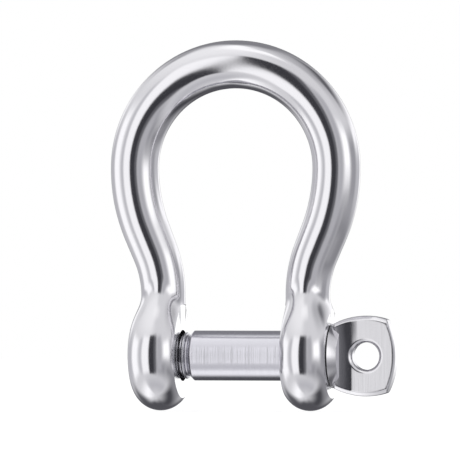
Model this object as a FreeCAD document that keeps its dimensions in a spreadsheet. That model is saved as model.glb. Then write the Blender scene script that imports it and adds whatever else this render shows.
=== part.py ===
"""Bow shackle: a forged bow with two eyes, a screw pin across them and the snap ring round the pin.

Frame: X along the pin towards its tab, Z up towards the crown of the bow, Y through its thickness.
The origin lies on the pin's axis, midway between the eyes. Lengths are in millimetres.
"""

import FreeCAD
import Part

import os

import Sketcher

SIZES = {
    # bow: a round rod, bent in one plane
    "crown_radius": (16.55, "middle of the rod, top half circle"),
    "crown_rise": (30.05, "centre of the crown's circle above the pin"),
    "side_radius": (27.5, "the flatter bend below each side of the crown"),
    "splay": (22.3, "slope of the sides, in degrees"),
    "flank": (3.4, "straight stretch of each side"),
    "neck_radius": (18.0, "the bend back to upright above each eye"),
    "rod_crown": (3.86, "rod's radius round the crown"),
    "rod_neck": (3.54, "rod's radius at the necks"),
    "leg_foot": (3.0, "height at which the rod ends inside the eye"),
    # eyes: rounded beads about the pin's axis
    "eye_centre": (12.27, "eye's middle from the origin"),
    "eye_ring": (4.54, "circle that the bead's round section follows"),
    "eye_round": (4.3, "radius of the bead's round section"),
    "eye_face": (3.62, "machined face from the eye's middle"),
    "spot_radius": (7.8, "cutter that faces the eyes"),
    "spot_reach": (4.0, "travel of that cutter beyond the faces"),
    "eye_blend": (2.4, "fillet between neck and eye"),
    "plain_bore": (4.1, "clear hole for the shank"),
    "sink_radius": (4.75, "mouth of the countersink under the head"),
    "relief_depth": (0.9, "clear mouth of the tapped hole"),
    "mouth_bevel": (0.3, "bevel of the plain hole's inner mouth"),
    "mouth_radius": (4.25, "bevelled outer mouth of the tapped hole"),
    # thread M8 x 1.25, right-hand, opened up for free running
    "pitch": (1.25, "lead of one turn"),
    "flank_radius": (3.594, "where ridge and groove are equally wide"),
    "flank_play": (0.07, "axial play taken from each flank"),
    "thread_crest": (3.9, "outer radius of the pin's thread"),
    "thread_root": (3.2, "bottom of the pin's thread"),
    "tap_crest": (3.35, "bore that the thread is tapped into"),
    "tap_root": (4.05, "bottom of the tapped thread"),
    "thread_from": (-17.5, "middle of the first ridge, beyond the tip"),
    "thread_turns": (6.4, "turns of the pin's thread"),
    "tap_turns": (7.5, "turns of the tapped thread"),
    # pin, with stations along X
    "tip_end": (-16.2, "threaded tip"),
    "tip_bevel": (0.6, "bevel of the tip"),
    "neck_start": (-9.1, "runout neck"),
    "neck_core": (3.12, "radius of the ring's groove"),
    "land_radius": (3.34, "shoulders each side of the ring"),
    "groove_start": (-8.3, "ring's groove"),
    "groove_end": (-7.65, "ring's groove"),
    "bevel_start": (-7.32, "bevel of the shank, small end"),
    "bevel_end": (-6.6, "bevel of the shank, large end"),
    "shank_radius": (4.0, "bearing shank"),
    "collar_face": (16.0, "shoulder of the head, just clear of the eye"),
    "collar_end": (17.3, "where the head's cone ends and the tab stands out"),
    "collar_radius": (5.2, "large end of the head's cone, at the shoulder"),
    "collar_small": (3.9, "small end of the head's cone"),
    # tab: a flattened plate on the end of the pin
    "root": (16.4, "root of the tab"),
    "root_half": (5.2, "half height of the tab at its root"),
    "corner": (24.95, "outer corners of the tab"),
    "corner_half": (5.85, "half height at the corners"),
    "edge_arc": (10.9, "arc of the tab's long edges"),
    "end_arc": (12.9, "arc of the tab's outer end"),
    "root_depth": (2.05, "half thickness of the tab at its root"),
    "ramp_end": (19.2, "where the hollow ramp meets the flat"),
    "ramp_arc": (16.0, "radius of the hollow ramp"),
    "block_low": (4.45, "half height of the thick root, at the head"),
    "block_high": (5.5, "half height of the thick root, at the flat"),
    "tab_half": (1.3, "half thickness of the flat"),
    "corner_round": (0.65, "rounding of the tab's corners"),
    "tab_bevel": (0.5, "bevel round the tab"),
    "hole_centre": (21.5, "tab's hole"),
    "hole_radius": (2.2, "tab's hole"),
    "hole_bevel": (0.45, "bevel of the tab's hole"),
    # snap ring
    "ring_inner": (3.17, "ring's bore"),
    "ring_outer": (3.73, "ring's rim"),
    "ring_start": (-8.26, "ring's face on the thread's side"),
    "ring_end": (-7.69, "ring's face on the shank's side"),
    "ring_turn": (342.0, "ring's closed part, in degrees"),
}

UP = "( crown_rise + crown_radius )"
SWING = "splay * 1deg"
SIDE_X = f"( crown_radius - side_radius * ( 1 - cos( {SWING} ) ) )"
SIDE_Z = f"( crown_rise - side_radius * sin( {SWING} ) )"
FLANK_X = f"( {SIDE_X} - flank * sin( {SWING} ) )"
FLANK_Z = f"( {SIDE_Z} - flank * cos( {SWING} ) )"
LEG_X = f"( {FLANK_X} - neck_radius * ( 1 - cos( {SWING} ) ) )"
LEG_Z = f"( {FLANK_Z} - neck_radius * sin( {SWING} ) )"


def formula(text):
    """An expression whose words are read from the sheet where they name one of its cells."""
    words = str(text).split()
    return " ".join("sizes." + word if word in SIZES else word for word in words)


def drive(thing, prop, text):
    """Bind one property of an object to the sheet."""
    thing.setExpression(prop, formula(text))


def value(sheet, text):
    """The present value of an expression."""
    found = sheet.evalExpression(formula(text))
    return float(getattr(found, "Value", found))


def fill_sheet(doc):
    """The driving sizes, one row each: name, value, meaning."""
    sheet = doc.addObject("Spreadsheet::Sheet", "sizes")
    for row, (name, (number, meaning)) in enumerate(SIZES.items(), start=1):
        sheet.set(f"A{row}", name)
        sheet.set(f"B{row}", str(number))
        sheet.set(f"C{row}", meaning)
        sheet.setAlias(f"B{row}", name)
    doc.recompute()
    return sheet


def new_body(doc, label):
    """An empty body at the common origin."""
    body = doc.addObject("PartDesign::Body", label)
    body.Label = label
    body.Placement = FreeCAD.Placement()
    return body


def datum(body, role):
    """One of the body's own origin planes or axes."""
    return next(item for item in body.Origin.OriginFeatures if item.Role == role)


def new_sketch(body, name, plane, offset=None):
    """A sketch on an origin plane of the body, moved off it along its normal if asked."""
    sketch = body.newObject("Sketcher::SketchObject", name)
    sketch.AttachmentSupport = [(datum(body, plane), "")]
    sketch.MapMode = "FlatFace"
    if offset is not None:
        drive(sketch, "AttachmentOffset.Base.z", offset)
    return sketch


def pin_point(sketch, geometry, end, x, y):
    """Hold one end of a curve at driven coordinates."""
    place = sketch.getPoint(geometry, end)
    across = sketch.addConstraint(Sketcher.Constraint("DistanceX", -1, 1, geometry, end, place.x))
    drive(sketch, f"Constraints[{across}]", x)
    up = sketch.addConstraint(Sketcher.Constraint("DistanceY", -1, 1, geometry, end, place.y))
    drive(sketch, f"Constraints[{up}]", y)


def arc_through(start, end, radius):
    """The short arc of the given radius between two points; a positive one bulges to the left."""
    chord = end.sub(start)
    middle = (start + end) * 0.5
    normal = FreeCAD.Vector(-chord.y, chord.x, 0).normalize()
    drop = (radius * radius - chord.Length * chord.Length / 4) ** 0.5
    side = 1 if radius > 0 else -1
    crest = middle + normal * side * (abs(radius) - drop)
    return Part.Arc(start, crest, end)


def trace(sketch, sheet, corners, closed=True):
    """Lines and arcs from corner to corner: each corner is (x, y) or (x, y, radius to the next)."""
    points = [FreeCAD.Vector(value(sheet, c[0]), value(sheet, c[1]), 0) for c in corners]
    count = len(corners) if closed else len(corners) - 1
    for index in range(count):
        start = points[index]
        end = points[(index + 1) % len(points)]
        corner = corners[index]
        if len(corner) == 3:
            bend = value(sheet, corner[2])
            number = sketch.addGeometry(arc_through(start, end, bend), False)
            ends = (1, 2) if bend < 0 else (2, 1)
            bound = sketch.addConstraint(Sketcher.Constraint("Radius", number, abs(bend)))
            drive(sketch, f"Constraints[{bound}]", f"abs( {corner[2]} )")
        else:
            number = sketch.addGeometry(Part.LineSegment(start, end), False)
            ends = (1, 2)
        following = corners[(index + 1) % len(points)]
        pin_point(sketch, number, ends[0], corner[0], corner[1])
        pin_point(sketch, number, ends[1], following[0], following[1])
    return sketch


def add_circle(sketch, sheet, x, y, radius):
    """A driven circle."""
    centre = FreeCAD.Vector(value(sheet, x), value(sheet, y), 0)
    circle = Part.Circle(centre, FreeCAD.Vector(0, 0, 1), value(sheet, radius))
    number = sketch.addGeometry(circle, False)
    pin_point(sketch, number, 3, x, y)
    bound = sketch.addConstraint(Sketcher.Constraint("Radius", number, value(sheet, radius)))
    drive(sketch, f"Constraints[{bound}]", radius)
    return sketch


def turned(body, kind, name, sketch):
    """A revolved feature about the pin's axis."""
    feature = body.newObject(kind, name)
    feature.Profile = sketch
    feature.ReferenceAxis = (sketch, ["H_Axis"])
    feature.Angle = 360
    body.Tip = feature
    return feature


def threaded(body, kind, name, sketch, turns):
    """A right-hand helical feature about the pin's axis, running towards the tab."""
    feature = body.newObject(kind, name)
    feature.Profile = sketch
    feature.ReferenceAxis = (sketch, ["H_Axis"])
    feature.Mode = "pitch-height-angle"
    feature.LeftHanded = False
    feature.Reversed = False
    drive(feature, "Pitch", "pitch")
    drive(feature, "Height", f"{turns} * pitch")
    body.Tip = feature
    return feature


def edges_where(shape, test):
    """Names of the edges whose every sampled point passes the test."""
    names = []
    for number, edge in enumerate(shape.Edges, start=1):
        points = edge.discretize(9)
        if all(test(point) for point in points):
            names.append(f"Edge{number}")
    return names


def build_bow(doc, sheet):
    """The forged bow: swept rod, two eyes, machined faces, bores and the tapped thread."""
    body = new_body(doc, "bow")
    path = new_sketch(body, "rod_path", "XZ_Plane")
    trace(path, sheet, [
        ("0", UP, "crown_radius"),
        ("crown_radius", "crown_rise", "side_radius"),
        (SIDE_X, SIDE_Z),
        (FLANK_X, FLANK_Z, "- neck_radius"),
        (LEG_X, LEG_Z),
        (LEG_X, "leg_foot"),
    ], closed=False)
    top = add_circle(new_sketch(body, "crown_section", "YZ_Plane"), sheet, "0", UP, "rod_crown")
    side = new_sketch(body, "side_section", "XY_Plane", "crown_rise")
    add_circle(side, sheet, "crown_radius", "0", "rod_crown")
    foot = new_sketch(body, "foot_section", "XY_Plane", "leg_foot")
    add_circle(foot, sheet, LEG_X, "0", "rod_neck")
    doc.recompute()
    rod = body.newObject("PartDesign::AdditivePipe", "rod")
    rod.Profile = top
    rod.Spine = path
    rod.Transformation = "Multisection"
    rod.Sections = [side, foot]
    body.Tip = rod
    doc.recompute()
    eye_sketch = new_sketch(body, "eye_profile", "XZ_Plane")
    trace(eye_sketch, sheet, [
        ("eye_centre - eye_round", "0"),
        ("eye_centre - eye_round", "- eye_ring", "- eye_round"),
        ("eye_centre", "- eye_ring - eye_round", "- eye_round"),
        ("eye_centre + eye_round", "- eye_ring"),
        ("eye_centre + eye_round", "0"),
    ])
    eye = turned(body, "PartDesign::Revolution", "eye", eye_sketch)
    doc.recompute()
    pair = body.newObject("PartDesign::Mirrored", "pair")
    pair.Originals = [rod, eye]
    pair.MirrorPlane = (datum(body, "YZ_Plane"), [""])
    body.Tip = pair
    doc.recompute()
    blend = body.newObject("PartDesign::Fillet", "blend")
    blend.Base = (pair, neck_edges(pair.Shape, sheet))
    drive(blend, "Radius", "eye_blend")
    body.Tip = blend
    doc.recompute()
    right = new_sketch(body, "right_cut", "XZ_Plane")
    trace(right, sheet, [
        ("eye_centre - eye_face - spot_reach", "0"),
        ("eye_centre - eye_face - spot_reach", "spot_radius"),
        ("eye_centre - eye_face", "spot_radius"),
        ("eye_centre - eye_face", "plain_bore + mouth_bevel"),
        ("eye_centre - eye_face + mouth_bevel", "plain_bore"),
        ("eye_centre + eye_face + plain_bore - sink_radius", "plain_bore"),
        ("eye_centre + eye_face", "sink_radius"),
        ("eye_centre + eye_face", "spot_radius"),
        ("eye_centre + eye_face + spot_reach", "spot_radius"),
        ("eye_centre + eye_face + spot_reach", "0"),
    ])
    turned(body, "PartDesign::Groove", "right_machining", right)
    doc.recompute()
    left = new_sketch(body, "left_cut", "XZ_Plane")
    trace(left, sheet, [
        ("eye_face + spot_reach - eye_centre", "0"),
        ("eye_face + spot_reach - eye_centre", "spot_radius"),
        ("eye_face - eye_centre", "spot_radius"),
        ("eye_face - eye_centre", "plain_bore"),
        ("eye_face - eye_centre - relief_depth", "plain_bore"),
        ("eye_face - eye_centre - relief_depth - plain_bore + tap_crest", "tap_crest"),
        ("mouth_radius - tap_crest - eye_centre - eye_round", "tap_crest"),
        ("- eye_centre - eye_round", "mouth_radius"),
        ("- eye_centre - eye_round - 1", "mouth_radius"),
        ("- eye_centre - eye_round - 1", "0"),
    ])
    turned(body, "PartDesign::Groove", "left_machining", left)
    doc.recompute()
    tap = new_sketch(body, "tap_profile", "XZ_Plane")
    inner = half_width("- flank_play", "tap_crest - 0.1")
    outer = half_width("- flank_play", "tap_root")
    trace(tap, sheet, [
        (f"thread_from - {inner}", "tap_crest - 0.1"),
        (f"thread_from - {outer}", "tap_root"),
        (f"thread_from + {outer}", "tap_root"),
        (f"thread_from + {inner}", "tap_crest - 0.1"),
    ])
    threaded(body, "PartDesign::SubtractiveHelix", "tapped_thread", tap, "tap_turns")
    doc.recompute()
    return body


def build_tab(body, sheet):
    """The flat tab with its bevels and hole, then the thick root ramped down to it."""
    doc = body.Document
    plate = new_sketch(body, "tab_outline", "XZ_Plane")
    trace(plate, sheet, [
        ("root", "- root_half"),
        ("root", "root_half", "edge_arc"),
        ("corner", "corner_half", "end_arc"),
        ("corner", "- corner_half", "edge_arc"),
    ])
    tab = body.newObject("PartDesign::Pad", "tab")
    tab.Profile = plate
    tab.Midplane = True
    drive(tab, "Length", "2 * tab_half")
    body.Tip = tab
    doc.recompute()
    corners = body.newObject("PartDesign::Fillet", "tab_corners")
    corners.Base = (tab, corner_edges(tab.Shape, sheet))
    drive(corners, "Radius", "corner_round")
    body.Tip = corners
    doc.recompute()
    rims = body.newObject("PartDesign::Chamfer", "tab_rims")
    rims.Base = (corners, rim_edges(corners.Shape, sheet))
    drive(rims, "Size", "tab_bevel")
    body.Tip = rims
    doc.recompute()
    eyelet = new_sketch(body, "eyelet_profile", "XZ_Plane")
    add_circle(eyelet, sheet, "hole_centre", "0", "hole_radius")
    hole = body.newObject("PartDesign::Pocket", "eyelet")
    hole.Profile = eyelet
    hole.Midplane = True
    drive(hole, "Length", "4 * tab_half")
    body.Tip = hole
    doc.recompute()
    mouths = body.newObject("PartDesign::Chamfer", "eyelet_mouths")
    mouths.Base = (hole, hole_edges(hole.Shape, sheet))
    drive(mouths, "Size", "hole_bevel")
    body.Tip = mouths
    doc.recompute()
    block_sketch = new_sketch(body, "block_outline", "XZ_Plane")
    trace(block_sketch, sheet, [
        ("root", "- block_low"),
        ("root", "block_low"),
        ("ramp_end", "block_high"),
        ("ramp_end", "- block_high"),
    ])
    block = body.newObject("PartDesign::Pad", "root_block")
    block.Profile = block_sketch
    block.Midplane = True
    drive(block, "Length", "2 * root_depth")
    body.Tip = block
    doc.recompute()
    for side, name in (("", "front"), ("-", "back")):
        hollow = new_sketch(body, f"{name}_hollow", "XY_Plane")
        bend = "ramp_arc" if side else "- ramp_arc"
        trace(hollow, sheet, [
            ("root", f"{side} root_depth", bend),
            ("ramp_end", f"{side} tab_half"),
            ("ramp_end + 1", f"{side} tab_half"),
            ("ramp_end + 1", f"{side} 2 * root_depth"),
            ("root", f"{side} 2 * root_depth"),
        ])
        cut = body.newObject("PartDesign::Pocket", f"{name}_ramp")
        cut.Profile = hollow
        cut.Midplane = True
        drive(cut, "Length", "4 * block_high")
        body.Tip = cut
        doc.recompute()


def build_pin(doc, sheet):
    """The screw pin: turned bar, thread, and the tab flattened out of its end."""
    body = new_body(doc, "screw_pin")
    build_tab(body, sheet)
    bar_sketch = new_sketch(body, "bar_profile", "XZ_Plane")
    trace(bar_sketch, sheet, [
        ("tip_end", "0"),
        ("tip_end", "thread_root"),
        ("neck_start", "thread_root"),
        ("neck_start", "land_radius"),
        ("groove_start", "land_radius"),
        ("groove_start", "neck_core"),
        ("groove_end", "neck_core"),
        ("groove_end", "land_radius"),
        ("bevel_start", "land_radius"),
        ("bevel_end", "shank_radius"),
        ("collar_face", "shank_radius"),
        ("collar_face", "collar_radius"),
        ("collar_end", "collar_small"),
        ("collar_end", "0"),
    ])
    turned(body, "PartDesign::Revolution", "bar", bar_sketch)
    doc.recompute()
    ridge_sketch = new_sketch(body, "ridge_profile", "XZ_Plane")
    inner = half_width("flank_play", "thread_root - 0.1")
    outer = half_width("flank_play", "thread_crest")
    trace(ridge_sketch, sheet, [
        (f"thread_from - {inner}", "thread_root - 0.1"),
        (f"thread_from - {outer}", "thread_crest"),
        (f"thread_from + {outer}", "thread_crest"),
        (f"thread_from + {inner}", "thread_root - 0.1"),
    ])
    threaded(body, "PartDesign::AdditiveHelix", "thread", ridge_sketch, "thread_turns")
    doc.recompute()
    tip = new_sketch(body, "tip_cut", "XZ_Plane")
    trace(tip, sheet, [
        ("tip_end - 3", "0"),
        ("tip_end - 3", "2 * shank_radius"),
        ("tip_end + tip_bevel", "2 * shank_radius"),
        ("tip_end + tip_bevel", "thread_crest + 0.1"),
        ("tip_end", "thread_crest + 0.1 - tip_bevel"),
        ("tip_end", "0"),
    ])
    turned(body, "PartDesign::Groove", "tip_facing", tip)
    doc.recompute()
    return body


def build_ring(doc, sheet):
    """The split snap ring in the pin's groove."""
    body = new_body(doc, "retaining_ring")
    section = new_sketch(body, "ring_section", "XZ_Plane")
    trace(section, sheet, [
        ("ring_start", "ring_inner"),
        ("ring_start", "ring_outer"),
        ("ring_end", "ring_outer"),
        ("ring_end", "ring_inner"),
    ])
    ring = turned(body, "PartDesign::Revolution", "ring", section)
    drive(ring, "Angle", "ring_turn * 1deg")
    doc.recompute()
    return body


def half_width(play, radius):
    """Half the axial width of the thread's ridge at a radius, less the play."""
    return f"( pitch / 4 - ( {radius} - flank_radius ) * tan( 30deg ) - {play} )"


def neck_edges(shape, sheet):
    """The edges where the rod runs into an eye."""
    low = value(sheet, "eye_ring")
    high = value(sheet, "eye_ring + eye_round")
    wide = value(sheet, "rod_neck + 0.3")
    near = value(sheet, "eye_centre - eye_round + 0.2")
    far = value(sheet, "eye_centre + eye_round - 1")
    return edges_where(
        shape,
        lambda point: low + 1 < point.z < high and abs(point.y) < wide and near < abs(point.x) < far,
    )


def corner_edges(shape, sheet):
    """The two upright edges at the tab's outer corners."""
    along = value(sheet, "corner")
    return edges_where(shape, lambda point: abs(point.x - along) < 0.01)


def rim_edges(shape, sheet):
    """The outline's edges on both faces of the tab."""
    half = value(sheet, "tab_half")
    start = value(sheet, "root")
    return edges_where(
        shape,
        lambda point: abs(abs(point.y) - half) < 0.01 and point.x > start - 0.01,
    )


def hole_edges(shape, sheet):
    """The two mouths of the tab's hole."""
    centre = value(sheet, "hole_centre")
    radius = value(sheet, "hole_radius")
    half = value(sheet, "tab_half")
    return edges_where(
        shape,
        lambda point: abs(abs(point.y) - half) < 0.01 and
        abs(((point.x - centre) ** 2 + point.z ** 2) ** 0.5 - radius) < 0.01,
    )


def check(doc):
    """Stop if anything failed to build."""
    for item in doc.Objects:
        if "Invalid" in item.State or "Error" in item.State:
            raise RuntimeError(f"{item.Name} did not build: {item.State}")
        if item.isDerivedFrom("PartDesign::Body"):
            if item.Shape.isNull() or not item.Shape.isValid():
                raise RuntimeError(f"{item.Name} has no valid shape")
            if len(item.Shape.Solids) != 1:
                raise RuntimeError(f"{item.Name} is not one solid")


def main():
    """Build the shackle and write one file for each of its parts."""
    os.makedirs("parts", exist_ok=True)
    doc = FreeCAD.newDocument("bow_shackle")
    sheet = fill_sheet(doc)
    bodies = [build_bow(doc, sheet), build_pin(doc, sheet), build_ring(doc, sheet)]
    doc.recompute()
    check(doc)
    for body in bodies:
        body.Shape.exportStep(f"parts/{body.Label}.step")
        print(body.Label, round(body.Shape.Volume, 1), body.Shape.BoundBox)


main()
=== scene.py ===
"""Bow shackle: the finished surfaces of the bow, its screw pin and snap ring, on a pale studio floor."""

import math

import bmesh
import bpy
import numpy as np
from bpy.props import FloatProperty, FloatVectorProperty, IntProperty, PointerProperty
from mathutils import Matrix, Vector


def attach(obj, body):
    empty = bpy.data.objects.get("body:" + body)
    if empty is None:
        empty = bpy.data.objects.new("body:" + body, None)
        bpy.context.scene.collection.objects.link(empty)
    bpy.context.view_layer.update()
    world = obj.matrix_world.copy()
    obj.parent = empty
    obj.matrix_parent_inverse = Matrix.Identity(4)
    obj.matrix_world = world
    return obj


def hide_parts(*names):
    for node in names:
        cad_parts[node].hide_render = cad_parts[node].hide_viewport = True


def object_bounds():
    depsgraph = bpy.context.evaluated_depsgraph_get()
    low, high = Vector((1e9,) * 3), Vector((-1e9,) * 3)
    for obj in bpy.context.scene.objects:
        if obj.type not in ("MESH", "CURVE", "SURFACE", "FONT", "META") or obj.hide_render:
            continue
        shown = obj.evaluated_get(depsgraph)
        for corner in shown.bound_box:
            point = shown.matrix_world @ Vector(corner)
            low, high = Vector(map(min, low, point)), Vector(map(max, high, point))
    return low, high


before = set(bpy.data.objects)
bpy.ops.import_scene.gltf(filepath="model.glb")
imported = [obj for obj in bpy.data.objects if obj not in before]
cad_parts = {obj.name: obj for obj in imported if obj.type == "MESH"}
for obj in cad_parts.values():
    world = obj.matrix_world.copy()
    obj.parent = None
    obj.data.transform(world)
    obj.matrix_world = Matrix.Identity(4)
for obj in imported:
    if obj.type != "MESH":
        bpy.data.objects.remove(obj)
CAD_LOW, CAD_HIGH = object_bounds()

bl_info = {
    "name": "Bow Shackle",
    "version": (1, 0, 0),
    "blender": (4, 5, 0),
    "location": "View3D > Sidebar > Shackle",
    "description": "Builds a polished bow shackle with its screw pin and snap ring",
    "category": "Add Mesh",
}

MM = 0.001
TURN = 2 * math.pi
PITCH = 1.25  # M8 thread, millimetres a turn
THREAD_FROM = -17.5  # middle of the first ridge, on the pin's axis


# ---------------------------------------------------------------- small tools

def linear(code):
    """An sRGB hex colour as linear red, green, blue and alpha."""
    parts = [int(code[i:i + 2], 16) / 255 for i in (1, 3, 5)]
    flat = [c / 12.92 if c <= 0.04045 else ((c + 0.055) / 1.055) ** 2.4 for c in parts]
    return (*flat, 1.0)


def length(label, about, size):
    """A length property, its default given in millimetres."""
    return FloatProperty(name=label, description=about, default=size * MM, min=0.01 * MM,
                         unit="LENGTH", precision=5)


def colour(label, about, code):
    """A colour property, its default given as sRGB hex."""
    return FloatVectorProperty(name=label, description=about, default=linear(code), size=4,
                               subtype="COLOR", min=0.0, max=1.0)


def add_node(tree, kind, settings=None, links=None, values=None):
    """One node: its settings, its input values by name or number, and links from other nodes' outputs."""
    node = tree.nodes.new(kind)
    for key, item in (settings or {}).items():
        setattr(node, key, item)
    for key, item in (values or {}).items():
        node.inputs[key].default_value = item
    for key, output in (links or {}).items():
        tree.links.new(output, node.inputs[key])
    return node


def new_object(name, verts, faces, smooth=True):
    """An object at the origin from points in millimetres."""
    mesh = bpy.data.meshes.new(name)
    points = [tuple(v) for v in np.asarray(verts, dtype=float) * MM]
    mesh.from_pydata(points, [], [tuple(map(int, f)) for f in faces])
    mesh.validate()
    mesh.update()
    obj = bpy.data.objects.new(name, mesh)
    bpy.context.scene.collection.objects.link(obj)
    mesh.polygons.foreach_set("use_smooth", [smooth] * len(mesh.polygons))
    return obj


def path_object(name, points, share):
    """A line of edges through points in millimetres, with its share of the sweep's radius at each."""
    obj = new_object(name, points, [])
    pairs = [(i, i + 1) for i in range(len(points) - 1)]
    obj.data.edges.add(len(pairs))
    obj.data.edges.foreach_set("vertices", [end for pair in pairs for end in pair])
    held = obj.data.attributes.new("share", "FLOAT", "POINT")
    held.data.foreach_set("value", share)
    return obj


def baked(obj, name):
    """The object with its modifiers turned into plain mesh."""
    bpy.context.view_layer.update()
    graph = bpy.context.evaluated_depsgraph_get()
    mesh = bpy.data.meshes.new_from_object(obj.evaluated_get(graph))
    mesh.name = name
    done = bpy.data.objects.new(name, mesh)
    bpy.context.scene.collection.objects.link(done)
    bpy.data.objects.remove(obj)
    return done


def combine(target, other, operation):
    """Exact boolean of two objects; the second is used up."""
    step = target.modifiers.new("combine", "BOOLEAN")
    step.operation = operation
    step.solver = "EXACT"
    step.object = other
    name = target.name
    target.name = name + "_raw"
    done = baked(target, name)
    bpy.data.objects.remove(other)
    return done


def lathe(name, profile, segments=160):
    """A closed solid turned about the pin's axis; the profile runs from axis to axis as (x, radius)."""
    verts, rings = [], []
    for x, r in profile:
        if r < 1e-6:
            rings.append([len(verts)])
            verts.append((x, 0.0, 0.0))
            continue
        rings.append(list(range(len(verts), len(verts) + segments)))
        for i in range(segments):
            a = TURN * i / segments
            verts.append((x, r * math.sin(a), r * math.cos(a)))
    faces = []
    for low, high in zip(rings, rings[1:]):
        for i in range(segments):
            j = (i + 1) % segments
            if len(low) == 1:
                faces.append((low[0], high[j], high[i]))
            elif len(high) == 1:
                faces.append((low[i], low[j], high[0]))
            else:
                faces.append((low[i], low[j], high[j], high[i]))
    obj = new_object(name, verts, faces)
    outward(obj)
    return obj


def eased(profile, reach):
    """A profile with each of its corners rounded over a short reach."""
    out = [profile[0]]
    for before, corner, after in zip(profile, profile[1:], profile[2:]):
        before, corner, after = (np.array(p, dtype=float) for p in (before, corner, after))
        back, ahead = before - corner, after - corner
        cut = min(reach, 0.45 * np.linalg.norm(back), 0.45 * np.linalg.norm(ahead))
        first = corner + back / np.linalg.norm(back) * cut
        last = corner + ahead / np.linalg.norm(ahead) * cut
        for t in (0.0, 0.25, 0.5, 0.75, 1.0):
            out.append(tuple((1 - t) ** 2 * first + 2 * t * (1 - t) * corner + t * t * last))
    out.append(profile[-1])
    return out


def outward(obj):
    """Turn all faces of a closed mesh outwards."""
    work = bmesh.new()
    work.from_mesh(obj.data)
    bmesh.ops.remove_doubles(work, verts=work.verts, dist=1e-8)
    bmesh.ops.recalc_face_normals(work, faces=work.faces)
    work.to_mesh(obj.data)
    work.free()
    obj.data.update()


def positions(mesh):
    """Vertex places of a mesh, in millimetres."""
    out = np.empty(len(mesh.vertices) * 3)
    mesh.vertices.foreach_get("co", out)
    return out.reshape(-1, 3) / MM


def face_centres(mesh):
    """Middles of a mesh's faces, in millimetres."""
    out = np.empty(len(mesh.polygons) * 3)
    mesh.polygons.foreach_get("center", out)
    return out.reshape(-1, 3) / MM


def slope_of(gap, points, step=0.01):
    """Unit normals of the surface where gap is zero, at points."""
    grad = np.empty_like(points)
    for axis in range(3):
        shift = np.zeros(3)
        shift[axis] = step
        grad[:, axis] = gap(points + shift) - gap(points - shift)
    return grad / np.linalg.norm(grad, axis=1)[:, None]


def settle(mesh, gap, evening):
    """Draw a rough mesh onto the surface where gap is zero, spreading its points evenly at first."""
    points = positions(mesh)
    edges = np.empty(len(mesh.edges) * 2, dtype=int)
    mesh.edges.foreach_get("vertices", edges)
    edges = edges.reshape(-1, 2)
    degree = np.bincount(edges.ravel(), minlength=len(points))[:, None]
    for turn in range(evening + 2):
        slope = slope_of(gap, points)
        points = points - slope * gap(points)[:, None]
        if turn < evening:
            total = np.zeros_like(points)
            np.add.at(total, edges[:, 0], points[edges[:, 1]])
            np.add.at(total, edges[:, 1], points[edges[:, 0]])
            pull = total / degree - points
            pull -= slope * np.sum(pull * slope, axis=1)[:, None]
            points = points + 0.5 * pull
    mesh.vertices.foreach_set("co", (points * MM).ravel())
    mesh.update()


def true_normals(mesh, gap, near=0.03):
    """Exact shading normals where the mesh lies on the surface of gap; true edges elsewhere."""
    mesh.set_sharp_from_angle(angle=math.radians(28))
    count = len(mesh.polygons)
    skin = np.abs(gap(face_centres(mesh))) < near
    totals = np.empty(count, dtype=int)
    mesh.polygons.foreach_get("loop_total", totals)
    owner = np.repeat(np.arange(count), totals)
    places = np.empty(len(mesh.loops), dtype=int)
    mesh.loops.foreach_get("vertex_index", places)
    shades = np.empty(len(mesh.corner_normals) * 3)
    mesh.corner_normals.foreach_get("vector", shades)
    shades = shades.reshape(-1, 3)
    slopes = slope_of(gap, positions(mesh))
    use = skin[owner]
    shades[use] = slopes[places[use]]
    mesh.normals_split_custom_set([tuple(n) for n in shades])


def paint_faces(mesh, materials, kinds):
    """Give a mesh its materials, and each face the number of its own."""
    mesh.materials.clear()
    for material in materials:
        mesh.materials.append(material)
    mesh.polygons.foreach_set("material_index", np.asarray(kinds, dtype=np.int32))
    mesh.update()


# ---------------------------------------------------------------- sizes and finishes

class ShackleBowSizes(bpy.types.PropertyGroup):
    """Sizes of the forged bow"""
    crown_rod: length("Crown rod", "Radius of the rod round the crown", 3.85)
    neck_rod: length("Neck rod", "Radius of the rod above the eyes", 3.53)
    bead: length("Bead", "Radius of the round section of each eye", 4.28)
    face: length("Face", "Machined face from the middle of its eye", 3.62)
    bore: length("Bore", "Radius of the plain hole for the shank", 4.1)
    sink: length("Countersink", "Radius of the mouth under the pin's head", 4.75)
    grid: length("Mesh width", "Width of the mesh on the forged skin", 0.42)


class ShacklePinSizes(bpy.types.PropertyGroup):
    """Sizes of the screw pin and its ring"""
    shank: length("Shank", "Radius of the bearing shank", 4.0)
    collar: length("Collar", "Large end of the head's cone, at its shoulder", 5.2)
    collar_end: length("Collar end", "Small end of the head's cone, at the tab", 3.9)
    crest: length("Thread crest", "Outer radius of the thread", 3.9)
    root: length("Thread root", "Radius at the bottom of the thread", 3.2)
    tab: length("Tab", "Half thickness of the flat tab", 1.3)
    tab_root: length("Tab root", "Half thickness of the tab where it leaves the head", 1.95)
    hole: length("Tab hole", "Radius of the hole in the tab", 2.2)
    bevel: length("Bevel", "Width of the bevel on the tab's long edges", 0.6)
    wire: length("Ring wire", "Radius of the snap ring's wire", 0.28)
    ring: length("Ring", "Radius of the snap ring's middle line", 3.45)
    turns: FloatProperty(name="Thread turns", description="Turns of the pin's thread", default=6.4, min=1.0)
    rays: IntProperty(name="Rays", description="Rays of the tab's mesh round its hole", default=240, min=48)


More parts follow.
